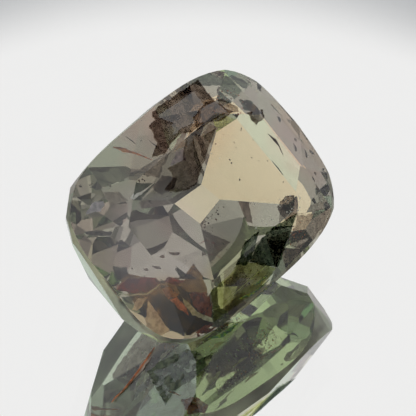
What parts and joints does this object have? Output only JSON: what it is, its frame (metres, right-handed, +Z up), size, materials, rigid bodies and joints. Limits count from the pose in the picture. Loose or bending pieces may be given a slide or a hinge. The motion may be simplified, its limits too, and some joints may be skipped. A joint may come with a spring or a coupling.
{
  "type": "cushion-cut alexandrite gemstone",
  "caption": "Cushion-shaped faceted alexandrite gemstone with a flat table, lying on one long facet of its deep pavilion.",
  "frame": {"origin": "middle of the stone's box, on the surface that it lies on", "axes": "+X along the long side of the girdle, +Z up, and -Y on the side that the table leans towards"},
  "size_m": [0.0068, 0.0042, 0.0038],
  "materials": {
    "alexandrite": "polished"
  },
  "bodies": {
    "root": {"alexandrite_gemstone": "alexandrite"}
  },
  "joints": []
}
